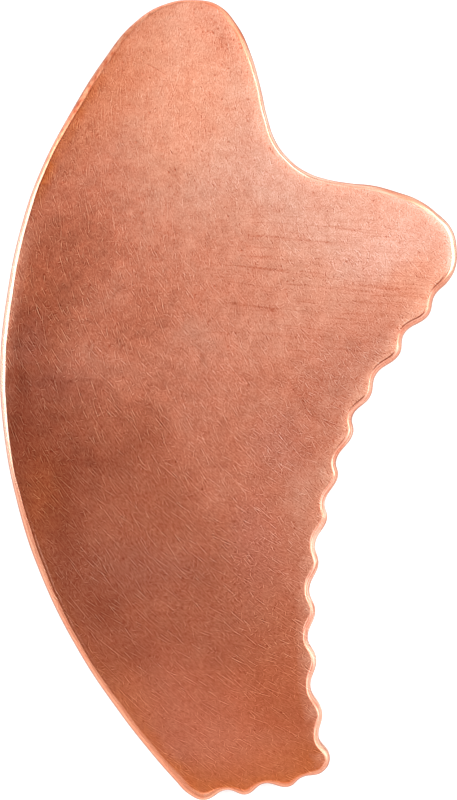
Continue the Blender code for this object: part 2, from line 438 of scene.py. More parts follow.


# Copper, all lengths in mm. PolishAndLight runs from 0, dark tarnish and painted shade, to 1, pale
# polish and painted sheen; its slope and many of its patches paint the light over the plate as well
# as its tarnish. Four numbers in brackets are a fade: from the first to the second, the result goes
# from the third to the fourth. Up the plate is counted from its middle.
copper = {
    "ramp": [
        (0.00, (0.38, 0.092, 0.046)), (0.25, (0.54, 0.155, 0.083)), (0.50, (0.67, 0.217, 0.126)),
        (0.70, (0.71, 0.268, 0.168)), (0.86, (0.725, 0.312, 0.207)), (1.00, (0.74, 0.358, 0.257)),
    ],
    "polishAndLight": 0.53,                # at the middle of the plate
    "polishAndLightSlope": (0.0130, 0.0085),   # more for each mm to the nose and to the head, painted light brightening there as well as less tarnish
    "patches": [                   # place, angle, reach along and across, polishAndLight and tone added; partly tarnish, partly painted sheen and shade
        ((-4, 42), 0, (15, 13), 0.22, 0.0), ((8, 30), -20, (28, 10), 0.15, 0.0),
        ((-18, 41), 58, (15, 5), -0.16, -0.04), ((-7, 27), -20, (9, 5), 0.10, 0.0),
        ((-21, 21), 0, (9, 7), -0.13, 0.0), ((-25, 10), 90, (9, 6), -0.22, 0.0),
        ((-20, 6), -20, (9, 4.5), 0.25, 0.02), ((-4, 8), 0, (4, 3), 0.06, 0.0),
        ((-28, 3), 80, (4, 3), -0.06, 0.0), ((-12, 10), 0, (6, 5), -0.10, 0.0),
        ((-13, 41), 58, (8, 4), -0.12, 0.0), ((-22, 24), 0, (6, 4), -0.10, 0.0),
        ((-16, 14), 90, (6, 4.5), 0.11, 0.0), ((-7, 16), 0, (6, 4), -0.10, 0.0),
        ((3, 14), 0, (6, 5), -0.08, 0.0), ((-4, 8), 0, (4, 4), 0.08, 0.0),
        ((-17, 44), 55, (5, 3), -0.18, 0.0), ((-28, 20), 70, (5, 3), 0.09, 0.0),
        ((-4, 12.5), 0, (4, 3.5), -0.08, 0.0), ((-12, 12.5), 0, (4, 3), -0.07, 0.0),
        ((-28, 12), 80, (4, 3), -0.08, 0.0), ((-17, -8), 0, (5, 3), -0.08, 0.0),
        ((-25, -20.5), -60, (4, 2.5), 0.10, 0.0), ((19, 24), 0, (7, 4), 0.07, 0.0),
        ((18, 16), 0, (6, 4), 0.07, 0.0), ((8, -41), 0, (5, 4), -0.09, 0.0),
        ((13, -48.5), 0, (4, 4), -0.18, 0.0), ((28.5, 14), 60, (4, 3), -0.07, 0.0),
        ((27.5, 23), 70, (5, 3), 0.0, -0.03), ((-21, 37), 0, (4, 3), -0.06, 0.0),
        ((-12, 24), 0, (4, 3), 0.06, 0.0), ((-28, 17), 85, (5, 3), 0.08, 0.0),
        ((19, 24), 0, (6, 4), 0.0, 0.07), ((9, 31), 80, (8, 4), 0.0, 0.05),
        ((0, -1), 0, (4, 4), -0.06, 0.0), ((-29, -5), 90, (5, 3), -0.06, 0.0),
        ((11, -14), 80, (5, 3), 0.06, 0.0), ((-6, -48), 0, (5, 4), 0.06, 0.0),
        ((-12, 32), 0, (4, 4), -0.06, 0.0), ((-12, -8), 0, (4, 3), 0.07, 0.0),
        ((-8, -20), 0, (5, 3), 0.06, 0.0), ((-15, -36), 0, (4, 3), -0.06, 0.0),
        ((-4, 28), 0, (4, 6), 0.05, 0.0), ((-20, -31), -50, (6, 3.5), 0.09, 0.0),
        ((-4, -32), 0, (4, 4), 0.06, 0.0), ((-11, -28), 0, (5, 3), 0.06, 0.0),
        ((-20, 16), 0, (4, 4), -0.09, 0.0), ((-30, -7), 90, (6, 2.5), -0.14, 0.0),
        ((-8, -4), 0, (4, 3), 0.10, 0.0), ((4, 4), 0, (4.5, 4.5), -0.11, 0.0),
        ((-29, -1), 90, (7, 4), -0.09, 0.0), ((-30, -3), 0, (15, 15), -0.14, 0.0),
        ((-2, 5), 0, (20, 20), 0.12, 0.0), ((-12, -5), 0, (5, 5), -0.21, 0.0),
        ((-8, -11), 0, (5, 4), -0.10, 0.0), ((-5, -2), 90, (7, 4.5), 0.06, 0.0),
        ((12, 0), -40, (9, 7), -0.04, -0.17), ((18, 7), 50, (11, 7), -0.26, 0.0),
        ((12, -13), 60, (7, 4), 0.28, 0.0), ((16, 1), 0, (4, 4), 0.09, 0.0),
        ((12, -7), 0, (4, 3), -0.10, 0.0), ((4, -24), 0, (4, 4), -0.08, 0.0),
        ((-4, -24), 0, (5, 4), -0.09, 0.0), ((-24, -17), 0, (4, 5), -0.09, 0.0),
        ((-17, -30), 0, (5, 4), -0.08, 0.0), ((-12, -36), 0, (4, 3), -0.09, 0.0),
        ((6, -6), 0, (7, 5), -0.09, 0.0), ((-24, -10), 0, (5, 5), -0.09, 0.0),
        ((-3, -12), 0, (5, 5), 0.14, 0.0), ((-17, -17), 0, (6, 4), 0.09, 0.0),
        ((9, -24), 0, (4, 5), 0.10, 0.0), ((-20, -32), -50, (5, 4), 0.05, 0.0),
        ((-12, -43), -48, (11, 5), 0.16, 0.0), ((-4, -40), 0, (5, 4), -0.07, 0.0),
        ((-16, -25), 0, (13, 9), 0.06, 0.0), ((-7, -40), -30, (15, 8), 0.17, 0.0),
        ((2, -49), 0, (16, 12), 0.18, 0.0), ((9, -41), 80, (11, 6), -0.06, -0.04),
        ((0.5, 49.0), 0, (6, 5), -0.05, -0.15), ((26, 18), 60, (8, 5), -0.12, 0.0),
    ],
    "warmPatches": [               # place, angle, reach along and across, share and colour mixed in
        ((4, -53), 0, (17, 7), 0.55, (0.68, 0.170, 0.056)),
        ((9, -41), 80, (15, 9), 0.36, (0.66, 0.165, 0.052)),
        ((-7, -42), -48, (15, 9), 0.35, (0.74, 0.205, 0.115)),
        ((-26, -13), 80, (9, 5), 0.35, (0.66, 0.165, 0.052)),
        ((-5, 44), 0, (17, 14), 0.35, (0.86, 0.355, 0.205)),
        ((-17, 42), 58, (15, 5), 0.40, (0.78, 0.265, 0.125)),
        ((13, -49), 0, (6, 5), 0.80, (0.60, 0.145, 0.045)),
        ((-4, -53), 0, (8, 4), 0.35, (0.66, 0.165, 0.052)),
        ((17, 5), 50, (12, 7), 0.30, (0.48, 0.25, 0.190)),
        ((-27, 9), 90, (4, 3.5), 0.30, (0.42, 0.160, 0.130)),
        ((-6, 42), 90, (13, 7), 0.50, (0.89, 0.33, 0.19)),
        ((2, -41), 0, (9, 8), 0.45, (0.66, 0.165, 0.080)),
        ((6, 34), -70, (5, 4), 0.35, (0.78, 0.40, 0.30)),
        ((22, 21), 40, (9, 6), 0.45, (0.78, 0.41, 0.32)),
        ((13, -15), 80, (6, 4), 0.55, (0.78, 0.24, 0.13)),
        ((-2, 4), 80, (9, 6), 0.30, (0.78, 0.25, 0.15)),
        ((-14, -41), -50, (8, 5), 0.40, (0.70, 0.195, 0.080)),
        ((-11, -23), 0, (12, 5), 0.18, (0.50, 0.195, 0.150)),
        ((8, -7), 0, (5, 5), 0.30, (0.63, 0.245, 0.185)),
        ((4, -19), 90, (9, 4), 0.30, (0.66, 0.217, 0.158)),
        ((-22, 2), 0, (6, 5), 0.35, (0.45, 0.145, 0.100)),
        ((27, 15), 50, (6, 4.5), 0.12, (0.86, 0.320, 0.160)),
        ((-26, 14), 85, (10, 4), 0.25, (0.66, 0.165, 0.070)),
    ],
    "rimColour": (0.77, 0.290, 0.168),
    "combColour": (0.82, 0.325, 0.215),
    "rubbedAndLitColour": (0.85, 0.545, 0.42),
    "dullAndShadedColour": (0.44, 0.165, 0.090),
    "wallShadeColour": (0.38, 0.145, 0.084),
    "dirtAndShadeColour": (0.25, 0.040, 0.012),
    "glowColour": (0.88, 0.405, 0.270),
    "glintColour": (0.90, 0.70, 0.62),
    "warmColour": (0.66, 0.165, 0.052),
    "roughness": 0.36,
    "rimRoughness": 0.225,
    "driftSize": 11.0,             # of the noise by which the patches' edges wander
    "driftReach": 8.0,
    "patchEnd": 1.3,               # in reaches from its middle
    "mottleSize": 7.0,
    "mottleTone": (0.25, 0.75, 0.985, 1.015),
    "mottlePolish": (0.25, 0.75, -0.025, 0.025),
    "speckleSize": 1.6,
    "speckleTone": (0.25, 0.9, 0.30, 0.56),          # by polishAndLight
    "speckleRoughness": (-30.0, 20.0, 0.06, 0.20),   # up the plate
    "grainSize": 0.55,
    "grainHeight": 0.005,
    "grainShare": (-30.0, 20.0, 0.38, 1.0),          # up the plate
    "wormTone": (0.0, 0.05, -0.05, 0.012),           # from the ridges' and hollows' middle line
    "wormGain": 1.7,               # added on the upper plate
    "upperPlate": (5.0, 35.0),
    "arcSpan": 75.0,               # mm along an arc for each radian
    "fineSize": 0.155,
    "fineStretch": 0.42,           # its size across the arcs as a share of that along them
    "fineHeight": 0.002,
    "fineTone": (0.25, 0.85, 0.33, 0.22),            # by polishAndLight
    "fineShare": (-50.0, -20.0, 0.58, 1.0),          # up the plate
    "hueSize": 2.4,
    "hueShifts": (0.010, -0.02, -0.03),              # of red, green and blue
    "redPower": (0.25, 0.70, 0.48, 0.41),            # of the tone, by polishAndLight
    "bluePower": (0.25, 0.70, 1.12, 1.26),
    "darkestTone": 0.1,
}
# Strokes left by rubbing, most of them in wide arcs about one point
strokeCentre = (56.6, 44.0)
strokeSetup = {
    "bend": 0.4,                   # spread of the sag, in cells across by a cell along squared
    "besideAway": 2.8,             # half widths from the line to the fainter ones beside it
    "besideShare": 0.40,
    "strengthPower": 1.4,          # of the chance, so that most strokes are faint
    "endFade": (0.20, 0.55),       # in lengths from the middle
    "layerShift": 0.37,            # in cells, from a layer to the next
    "crowdSize": 6.0,              # of the spots with more and with fewer strokes
    "crowdShare": (0.30, 0.65, 0.75, 1.0),
    "lowerShare": (-46.0, -28.0, 0.52, 1.0),         # up the plate
    "lightGain": (0.25, 0.80, 2.10, 0.90),           # by polishAndLight
    "darkGain": (0.35, 0.95, 0.25, 1.10),
    "arcsLost": 0.32,              # on the upper plate
    "looseLost": 0.35,
}
# Size of a stroke's cell across and along the arc, spread of its angles, half width, share of
# cells that hold one, groove, how much lighter
arcStrokes = [
    (0.44, 1.5, 48, 0.043, 0.58, 0.0018, 0.85),
    (0.75, 2.6, 34, 0.044, 0.45, 0.0022, 0.74),
    (1.50, 5.0, 24, 0.045, 0.40, 0.0024, 0.52),
    (0.48, 1.3, 50, 0.050, 0.50, 0.0018, -0.65),
]
looseStrokes = [
    (0.60, 0.60, 180, 0.048, 0.80, 0.0016, 0.62),
    (0.50, 0.50, 180, 0.048, 0.85, 0.0016, -0.55),
]
markSetup = {
    "depth": 0.004,
    "endFade": (0.30, 0.52),       # in lengths from the middle
}
# Single marks: from, to, half width, bend, how much darker
marks = [
    ((-30.0, 4.9), (-27.7, 2.3), 0.06, 0.0, 0.35),
    ((-26.4, 1.2), (-23.8, -1.0), 0.06, 0.0, 0.30),
    ((-14.9, -34.4), (-10.1, -31.4), 0.06, 0.0, -0.25),
    ((-7.4, 51.4), (-6.2, 50.6), 0.06, 0.15, 0.35),
    ((-11.8, 46.4), (-8.2, 44.4), 0.06, 0.03, 0.30),
    ((5.4, 34.8), (6.6, 33.2), 0.09, 0.0, 0.35),
    ((14.6, 27.4), (15.6, 26.0), 0.06, 0.0, 0.30),
    ((20.9, 26.6), (22.1, 24.4), 0.06, 0.0, -0.25),
]
# Dark streaks across the shoulder below the brow: a pattern is its middle, angle and size
streaks = {
    "lines": ((13, 16), -5, (26, 0.8)),
    "lineFade": (0.0, 0.032, 1.0, 0.0),
    "breaks": ((3, 5), -5, (7, 1.0)),
    "breakFade": (0.32, 0.52),
    "shoulder": ((14, 15.5), -14, (19, 12)),
    "shoulderFade": (0.6, 1.1, 1.0, 0.0),
    "tone": -0.28,
    "depth": 0.0012,
}
pitting = {
    "cell": 0.9,
    "dotFade": (0.08, 0.25, 1.0, 0.0),               # in cells from a pit's middle
    "raritySize": 5.0,
    "rarity": (0.50, 0.75, 0.965, 0.82),             # the chance past which a cell holds a pit
    # where dirt has settled: place, angle, reach, change of that chance
    "settled": [((-1.0, 50.5), -50, (6, 4), -0.50), ((-12.0, 46.5), -60, (4, 3), -0.35)],
    "tone": -0.34,
    "depth": 0.006,
}
# Wear of the rim and beside it, and the light and shade painted there. Places are mm of the way
# round: begins, is full, still is, has ended. Patterns have their size along the way and inward.
rimWearAndLight = {
    "head": (3.0, 8.0, 13.0, 19.0),
    "brow": (36.0, 43.0, 47.0, 54.0),
    "nose": (46.0, 55.0, 60.0, 65.0),
    "comb": (62.0, 68.0, 150.0, 157.0),
    "softToe": (139.0, 146.0, 168.0, 182.0),
    "softness": -0.62,             # changes what a mm past the inner line counts there
    "innerLine": (-0.14, 0.02, 1.0, 0.0),
    "sideEnds": (134.0, 142.0, 1.0, 0.0),
    "nickPattern": (0.34, 2.6, 1.0),
    "nickFade": (0.56, 0.70),
    "nickReach": (0.9, 2.6, 1.0, 0.0),               # inward
    "nickTone": -0.16,
    "nickDepth": 0.004,
    "scuffFade": (0.30, 0.55, 1.0, 0.1),
    "scuffWay": (92.0, 110.0, 1.0, 0.25),
    "scuffShare": 0.8,
    "warmSpotSize": 2.6,
    "warmSpots": (0.30, 0.60, 0.3, 1.0),
    "warmBand": (0.0, 1.9, 1.0, 0.0),                # past the inner line
    "warmShare": 0.9,
    "paleBand": (0.4, 3.2, 1.0, 0.0),                # inward, where a painted glow lies beside the lit rim
    "palePower": 1.6,
    "paleShare": -0.85,
    "tipGlow": (92.0, 110.0, 0.75, 0.45),
    "noseGlint": (-0.3, 1.0, 0.32, 0.0),             # past the inner line, a painted glint
    "smearPattern": (2.0, 0.3, 1.0),
    "smearShare": (0.3, 0.7, 0.8, 1.0),
    "wallOnSide": (88.0, 108.0, 0.05, 0.45),
    "wallRubbedAndLit": 0.10,
    "wallBand": (0.10, 0.30, 1.0, 0.0),              # inward
    "creaseAt": 0.02,                                # past the inner line
    "creaseFade": (0.03, 0.13, 1.0, 0.0),
    "creaseShare": (0.3, 0.6, 0.75, 1.0),
    "lipAt": 0.28,                                   # past the inner line
    "lipFade": (0.0, 0.15, 1.0, 0.0),
    "lipEnds": (203.0, 210.0, 1.0, 0.0),
    "lipPattern": (2.4, 1.0, 1.0),
    "lipShare": (0.40, 0.60, 0.4, 1.5),
    "linePattern": (3.0, 0.17, 1.0),
    "lineTone": (0.30, 0.70, -0.28, 0.28),
    "lineOnSide": (84.0, 98.0, 1.0, 1.7),
    "lineOnToe": (132.0, 142.0, 1.0, 0.3),
    "beadPattern": (0.9, 0.6, 1.0),
    "beadMiddle": 0.52,
    "beadTone": (250.0, 262.0, 0.0, 1.9),
    "beadHeight": 0.010,
    "faceToneLost": -0.6,          # takes most of the face's marks off the rim
    "rougherComb": (88.0, 108.0, 0.10, 0.24),
    "rougherWhereDull": 0.3,
    "rougherBrowAndHead": 0.30,
}


def addNode(tree, kind, inputs, **settings):
    node = tree.nodes.new("ShaderNode" + kind)
    for name, value in settings.items():
        setattr(node, name, value)
    for name, value in inputs.items():
        if isinstance(value, bpy.types.NodeSocket):
            tree.links.new(value, node.inputs[name])
        else:
            node.inputs[name].default_value = value
    return node


def calc(tree, operation, *values):
    return addNode(tree, "Math", dict(enumerate(values)), operation=operation).outputs[0]


def calcVector(tree, operation, first, second):
    return addNode(tree, "VectorMath", {0: first, 1: second}, operation=operation).outputs[0]


def dot(tree, first, second):
    return addNode(tree, "VectorMath", {0: first, 1: second}, operation="DOT_PRODUCT").outputs["Value"]


def fade(tree, value, low, high, atLow=0.0, atHigh=1.0):
    # eases from one number to another while the value goes from low to high
    inputs = {"Value": value, "From Min": low, "From Max": high, "To Min": atLow, "To Max": atHigh}
    return addNode(tree, "MapRange", inputs, interpolation_type="SMOOTHSTEP").outputs[0]


def fadeOut(tree, value, low, high):
    return fade(tree, value, low, high, 1.0, 0.0)


def product(tree, value, *factors):
    for factor in factors:
        value = calc(tree, "MULTIPLY", value, factor)
    return value


def plus(tree, total, value, factor):
    # the total and the value times the factor
    return calc(tree, "MULTIPLY_ADD", value, factor, total)


def gap(tree, first, second):
    # how far apart two values are
    return calc(tree, "ABSOLUTE", calc(tree, "SUBTRACT", first, second))


def parts(tree, vector):
    return addNode(tree, "SeparateXYZ", {0: vector}).outputs[:]


def flatLength(tree, vector):
    flat = calcVector(tree, "MULTIPLY", vector, (1, 1, 0))
    return addNode(tree, "VectorMath", {0: flat}, operation="LENGTH").outputs["Value"]


def mixColours(tree, factor, first, second, kind="MIX"):
    inputs = {0: factor, 6: first, 7: second}
    return addNode(tree, "Mix", inputs, data_type="RGBA", blend_type=kind).outputs[2]


def patternSpace(tree, coordinates, centre, angle, size):
    # coordinates counted in the pattern's own size, from its centre and along its angle
    inputs = {"Vector": coordinates, "Location": (centre[0], centre[1], 0),
              "Rotation": (0, 0, radians(angle)), "Scale": (size[0], size[1], size[-1])}
    return addNode(tree, "Mapping", inputs, vector_type="TEXTURE").outputs[0]


def noise(tree, vector, size, detail=2.0, roughness=0.5, distortion=0.0):
    inputs = {"Vector": vector, "Scale": 1 / size, "Detail": detail, "Roughness": roughness,
              "Distortion": distortion}
    return addNode(tree, "TexNoise", inputs).outputs["Fac"]


def evenly(tree, noiseValue):
    # a noise from about a quarter to three quarters, spread from minus one to one
    return fade(tree, noiseValue, 0.25, 0.75, -1.0, 1.0)


def strokeLayer(tree, space, shape, shift):
    # each Voronoi cell holds one thin line through its centre between two fainter lines of the
    # other shade, turned by a random part of the spread and slightly bent, fading to its ends
    across, along, spread, halfWidth, share = shape
    moved = calcVector(tree, "MULTIPLY", space, (1 / across, 1 / along, 0))
    moved = calcVector(tree, "ADD", moved, (shift, -shift, 0))
    cells = addNode(tree, "TexVoronoi", {"Vector": moved, "Scale": 1.0}, voronoi_dimensions="2D")
    centre = calcVector(tree, "MULTIPLY", cells.outputs["Position"], (1, 1, 0))
    local = calcVector(tree, "SUBTRACT", moved, centre)
    local = calcVector(tree, "MULTIPLY", local, (across, along, 0))
    turnChance, bendChance, keepChance = parts(tree, cells.outputs["Color"])
    turn = calc(tree, "MULTIPLY_ADD", turnChance, radians(spread), -radians(spread) / 2)
    spun = addNode(tree, "VectorRotate", {"Vector": local, "Angle": turn}, rotation_type="Z_AXIS")
    aside, ahead = parts(tree, spun.outputs[0])[:2]
    sag = strokeSetup["bend"] * across / along ** 2
    bend = calc(tree, "MULTIPLY_ADD", bendChance, sag, -sag / 2)
    sagged = product(tree, ahead, ahead, bend)
    off = calc(tree, "ABSOLUTE", calc(tree, "ADD", aside, sagged))
    line = fadeOut(tree, off, 0.0, halfWidth * 2)
    beside = gap(tree, off, halfWidth * strokeSetup["besideAway"])
    shadow = fade(tree, beside, 0.0, halfWidth * 2, strokeSetup["besideShare"], 0.0)
    kept = calc(tree, "LESS_THAN", keepChance, share)
    strength = calc(tree, "POWER", bendChance, strokeSetup["strengthPower"])
    fadesFrom, fadesTo = strokeSetup["endFade"]
    ended = fadeOut(tree, calc(tree, "ABSOLUTE", ahead), along * fadesFrom, along * fadesTo)
    held = product(tree, strength, kept, ended)
    groove = product(tree, line, held)
    return groove, product(tree, calc(tree, "SUBTRACT", line, shadow), held)


def lineMark(tree, coordinates, start, end, halfWidth, bend):
    # a line between two points: near its axis, within its length
    (x0, y0), (x1, y1) = start, end
    length = float(np.hypot(x1 - x0, y1 - y0))
    angle = float(np.degrees(np.arctan2(y1 - y0, x1 - x0)))
    local = patternSpace(tree, coordinates, ((x0 + x1) / 2, (y0 + y1) / 2), angle, (1, 1))
    ahead, aside = parts(tree, local)[:2]
    sagged = product(tree, ahead, ahead, bend)
    off = calc(tree, "ABSOLUTE", calc(tree, "ADD", aside, sagged))
    across = fadeOut(tree, off, 0.0, halfWidth * 2)
    fadesFrom, fadesTo = markSetup["endFade"]
    along = fadeOut(tree, calc(tree, "ABSOLUTE", ahead), length * fadesFrom, length * fadesTo)
    return product(tree, across, along)


def copperMaterial():
    # a colour by polish and painted light, times a tone that every small mark darkens or lightens. The
    # rim's wear and its painted light and shade follow the attributes rimWay and rimCareAndLight.
    material = bpy.data.materials.new("copperWithPaintedLight")
    material.use_nodes = True
    tree = material.node_tree
    shader = tree.nodes["Principled BSDF"]
    shader.inputs["Metallic"].default_value = 1.0

    objectSpace = addNode(tree, "TexCoord", {}).outputs["Object"]
    inMm = calcVector(tree, "MULTIPLY", objectSpace, (1 / mm, 1 / mm, 1 / mm))
    rimWay = addNode(tree, "Attribute", {}, attribute_name="rimWay").outputs["Vector"]
    careAndLight = addNode(tree, "Attribute", {}, attribute_name="rimCareAndLight")
    dirtAndShade, warmth, rubbedAndLit = parts(tree, careAndLight.outputs["Color"])
    tips = careAndLight.outputs["Alpha"]
    way, inward, pastRim = parts(tree, rimWay)

    def tint(name):
        return (*copper[name], 1.0)

    def onWay(name):
        # one along a place of the way, easing in and out at its ends
        begins, full, still, ended = rimWearAndLight[name]
        return product(tree, fade(tree, way, begins, full), fadeOut(tree, way, still, ended))

    def alongRim(pattern, detail, roughness=0.5):
        # a noise whose pattern follows the rim
        space = patternSpace(tree, rimWay, (0, 0), 0, rimWearAndLight[pattern])
        return noise(tree, space, 1.0, detail, roughness)

    # the rim has no sharp inner line round the toe
    softened = plus(tree, 1.0, onWay("softToe"), rimWearAndLight["softness"])
    onRim = fade(tree, product(tree, pastRim, softened), *rimWearAndLight["innerLine"])
    placeAcross, placeUp = parts(tree, inMm)[:2]

    # polish and painted light: a slope over the plate, soft patches on it, both partly painted sheen
    # and shade, and two sizes of mottling
    driftScale = 1 / copper["driftSize"]
    driftReach = copper["driftReach"]
    drift = addNode(tree, "TexNoise", {"Vector": inMm, "Scale": driftScale, "Detail": 2.0})
    drifted = calcVector(tree, "MULTIPLY", drift.outputs["Color"], (driftReach, driftReach, 0))
    wandered = calcVector(tree, "ADD", inMm, drifted)
    slopeAcross, slopeUp = copper["polishAndLightSlope"]
    polishAndLight = plus(tree, copper["polishAndLight"], placeAcross, slopeAcross)
    polishAndLight = plus(tree, polishAndLight, placeUp, slopeUp)
    mottle = noise(tree, inMm, copper["mottleSize"], 3.0, 0.5)
    tone = fade(tree, mottle, *copper["mottleTone"])

    def near(spot, angle, reach):
        # one at the spot, fading over an oval to nothing at its edge; the drift's mean is half
        # its reach
        turn = radians(angle)
        middle = (spot[0] + driftReach / 2, spot[1] + driftReach / 2, 0)
        offset = calcVector(tree, "SUBTRACT", wandered, middle)
        along = dot(tree, offset, (cos(turn) / reach[0], sin(turn) / reach[0], 0))
        across = dot(tree, offset, (-sin(turn) / reach[1], cos(turn) / reach[1], 0))
        squared = plus(tree, product(tree, across, across), along, along)
        return fadeOut(tree, calc(tree, "SQRT", squared), 0.0, copper["patchEnd"])

    for spot, angle, reach, polishAndLightAdded, toneAdded in copper["patches"]:
        patch = near(spot, angle, reach)
        polishAndLight = plus(tree, polishAndLight, patch, polishAndLightAdded)
        if toneAdded:
            tone = plus(tree, tone, patch, toneAdded)
    polishAndLight = calc(tree, "ADD", polishAndLight, fade(tree, mottle, *copper["mottlePolish"]))
    speckle = calc(tree, "SUBTRACT", noise(tree, inMm, copper["speckleSize"], 3.0, 0.6, 0.6), 0.5)
    tone = plus(tree, tone, speckle, fade(tree, polishAndLight, *copper["speckleTone"]))
    ramp = addNode(tree, "ValToRGB", {"Fac": polishAndLight})
    stops = ramp.color_ramp.elements
    while len(stops) < len(copper["ramp"]):
        stops.new(0.5)
    for stop, (position, colour) in zip(stops, copper["ramp"]):
        stop.position = position
        stop.color = (*colour, 1.0)
    colour = ramp.outputs["Color"]
    for spot, angle, reach, share, warmed in copper["warmPatches"]:
        patch = product(tree, near(spot, angle, reach), share)
        colour = mixColours(tree, patch, colour, (*warmed, 1.0))

    # grain: worm-like ridges and hollows of a worn orange peel, and a finer one in them that
    # runs along the strokes' arcs
    away = calcVector(tree, "SUBTRACT", inMm, (*strokeCentre, 0))
    leftward, upward = parts(tree, calcVector(tree, "MULTIPLY", away, (-1, 1, 0)))[:2]
    swept = product(tree, calc(tree, "ARCTAN2", upward, leftward), copper["arcSpan"])
    arcs = addNode(tree, "CombineXYZ", {0: flatLength(tree, away), 1: swept}).outputs[0]
    grain = noise(tree, inMm, copper["grainSize"], 1.0, 0.5, 1.2)
    fineSpace = calcVector(tree, "MULTIPLY", arcs, (1.0, copper["fineStretch"], 0))
    fine = noise(tree, fineSpace, copper["fineSize"], 1.0, 0.5, 0.8)
    grainShare = fade(tree, placeUp, *copper["grainShare"])
    height = product(tree, grain, grainShare, copper["grainHeight"])
    height = plus(tree, height, fine, copper["fineHeight"])
    upper = fade(tree, placeUp, *copper["upperPlate"])
    worms = fade(tree, gap(tree, grain, 0.5), *copper["wormTone"])
    tone = plus(tree, tone, worms, plus(tree, 1.0, upper, copper["wormGain"]))
    fineGain = fade(tree, polishAndLight, *copper["fineTone"])
    fineGain = product(tree, fineGain, fade(tree, placeUp, *copper["fineShare"]))
    tone = plus(tree, tone, evenly(tree, fine), fineGain)

    # strokes: more light ones on the tarnish and painted shade, more dark ones on the polish and
    # painted sheen
    crowd = fade(tree, noise(tree, inMm, strokeSetup["crowdSize"], 2.0), *strokeSetup["crowdShare"])
    crowd = product(tree, crowd, fade(tree, placeUp, *strokeSetup["lowerShare"]))
    lightGain = product(tree, crowd, fade(tree, polishAndLight, *strokeSetup["lightGain"]))
    darkGain = product(tree, crowd, fade(tree, polishAndLight, *strokeSetup["darkGain"]))
    layers = [(arcs, layer, strokeSetup["arcsLost"]) for layer in arcStrokes]
    layers += [(inMm, layer, strokeSetup["looseLost"]) for layer in looseStrokes]
    for number, (space, (*shape, depth, lighter), lost) in enumerate(layers):
        groove, line = strokeLayer(tree, space, shape, strokeSetup["layerShift"] * number)
        height = plus(tree, height, groove, -depth)
        gain = lightGain if lighter > 0 else darkGain
        gain = product(tree, gain, plus(tree, 1.0, upper, -lost))
        tone = plus(tree, tone, product(tree, line, gain), lighter)
    for start, end, halfWidth, bend, darker in marks:
        line = lineMark(tree, inMm, start, end, halfWidth, bend)
        height = plus(tree, height, line, -markSetup["depth"])
        tone = plus(tree, tone, line, -darker)

    # dark streaks that run across the shoulder below the brow
    streakNoise = noise(tree, patternSpace(tree, inMm, *streaks["lines"]), 1.0, 1.0, 0.5)
    streak = fade(tree, gap(tree, streakNoise, 0.5), *streaks["lineFade"])
    shoulder = flatLength(tree, patternSpace(tree, inMm, *streaks["shoulder"]))
    breaks = noise(tree, patternSpace(tree, inMm, *streaks["breaks"]), 1.0, 2.0)
    broken = fade(tree, breaks, *streaks["breakFade"])
    streak = product(tree, streak, broken, fade(tree, shoulder, *streaks["shoulderFade"]))
    tone = plus(tree, tone, streak, streaks["tone"])
    height = plus(tree, height, streak, -streaks["depth"])

    # pits: a few cells hold a small dark dot, and more do where dirt has settled
    pitScale = 1 / pitting["cell"]
    cells = addNode(tree, "TexVoronoi", {"Vector": inMm, "Scale": pitScale}, voronoi_dimensions="2D")
    pitChance = parts(tree, cells.outputs["Color"])[0]
    pit = fade(tree, cells.outputs["Distance"], *pitting["dotFade"])
    rare = fade(tree, noise(tree, inMm, pitting["raritySize"], 2.0), *pitting["rarity"])
    for spot, angle, reach, change in pitting["settled"]:
        rare = plus(tree, rare, near(spot, angle, reach), change)
    pit = product(tree, pit, calc(tree, "GREATER_THAN", pitChance, rare))
    tone = plus(tree, tone, pit, pitting["tone"])
    height = plus(tree, height, pit, -pitting["depth"])

    # file nicks square to the edge, on and beside the comb, scuffed pale at the tips
    nickNoise = alongRim("nickPattern", 2.0, 0.6)
    onComb = onWay("comb")
    besideRim = product(tree, onComb, fade(tree, inward, *rimWearAndLight["nickReach"]))
    nick = product(tree, fade(tree, nickNoise, *rimWearAndLight["nickFade"]), besideRim)
    tone = plus(tree, tone, nick, rimWearAndLight["nickTone"])
    height = plus(tree, height, nick, -rimWearAndLight["nickDepth"])
    scuff = product(tree, fade(tree, nickNoise, *rimWearAndLight["scuffFade"]), product(tree, tips, besideRim))
    scuff = product(tree, scuff, fade(tree, way, *rimWearAndLight["scuffWay"]), rimWearAndLight["scuffShare"])
    colour = mixColours(tree, scuff, colour, tint("rubbedAndLitColour"))

    # the face beside the rim is warmer in places, and in others paler with a painted glow beside the
    # lit rim and at the comb's tips
    warmSpots = noise(tree, inMm, rimWearAndLight["warmSpotSize"], 3.0, 0.6)
    warmSpots = fade(tree, warmSpots, *rimWearAndLight["warmSpots"])
    warmBand = fade(tree, pastRim, *rimWearAndLight["warmBand"])
    warm = product(tree, warmSpots, warmBand, product(tree, warmth, rimWearAndLight["warmShare"]))
    colour = mixColours(tree, warm, colour, tint("warmColour"))
    paleBand = calc(tree, "POWER", fade(tree, inward, *rimWearAndLight["paleBand"]), rimWearAndLight["palePower"])
    paintedGlow = product(tree, paleBand, warmth, product(tree, warmSpots, rimWearAndLight["paleShare"]))
    tipGlow = product(tree, paleBand, tips, onComb)
    paintedGlow = plus(tree, paintedGlow, tipGlow, fade(tree, way, *rimWearAndLight["tipGlow"]))
    colour = mixColours(tree, paintedGlow, colour, tint("glowColour"))
    # a painted glint on the face beside the nose's rim
    noseGlint = product(tree, onWay("nose"), fade(tree, pastRim, *rimWearAndLight["noseGlint"]))
    colour = mixColours(tree, noseGlint, colour, tint("glintColour"))

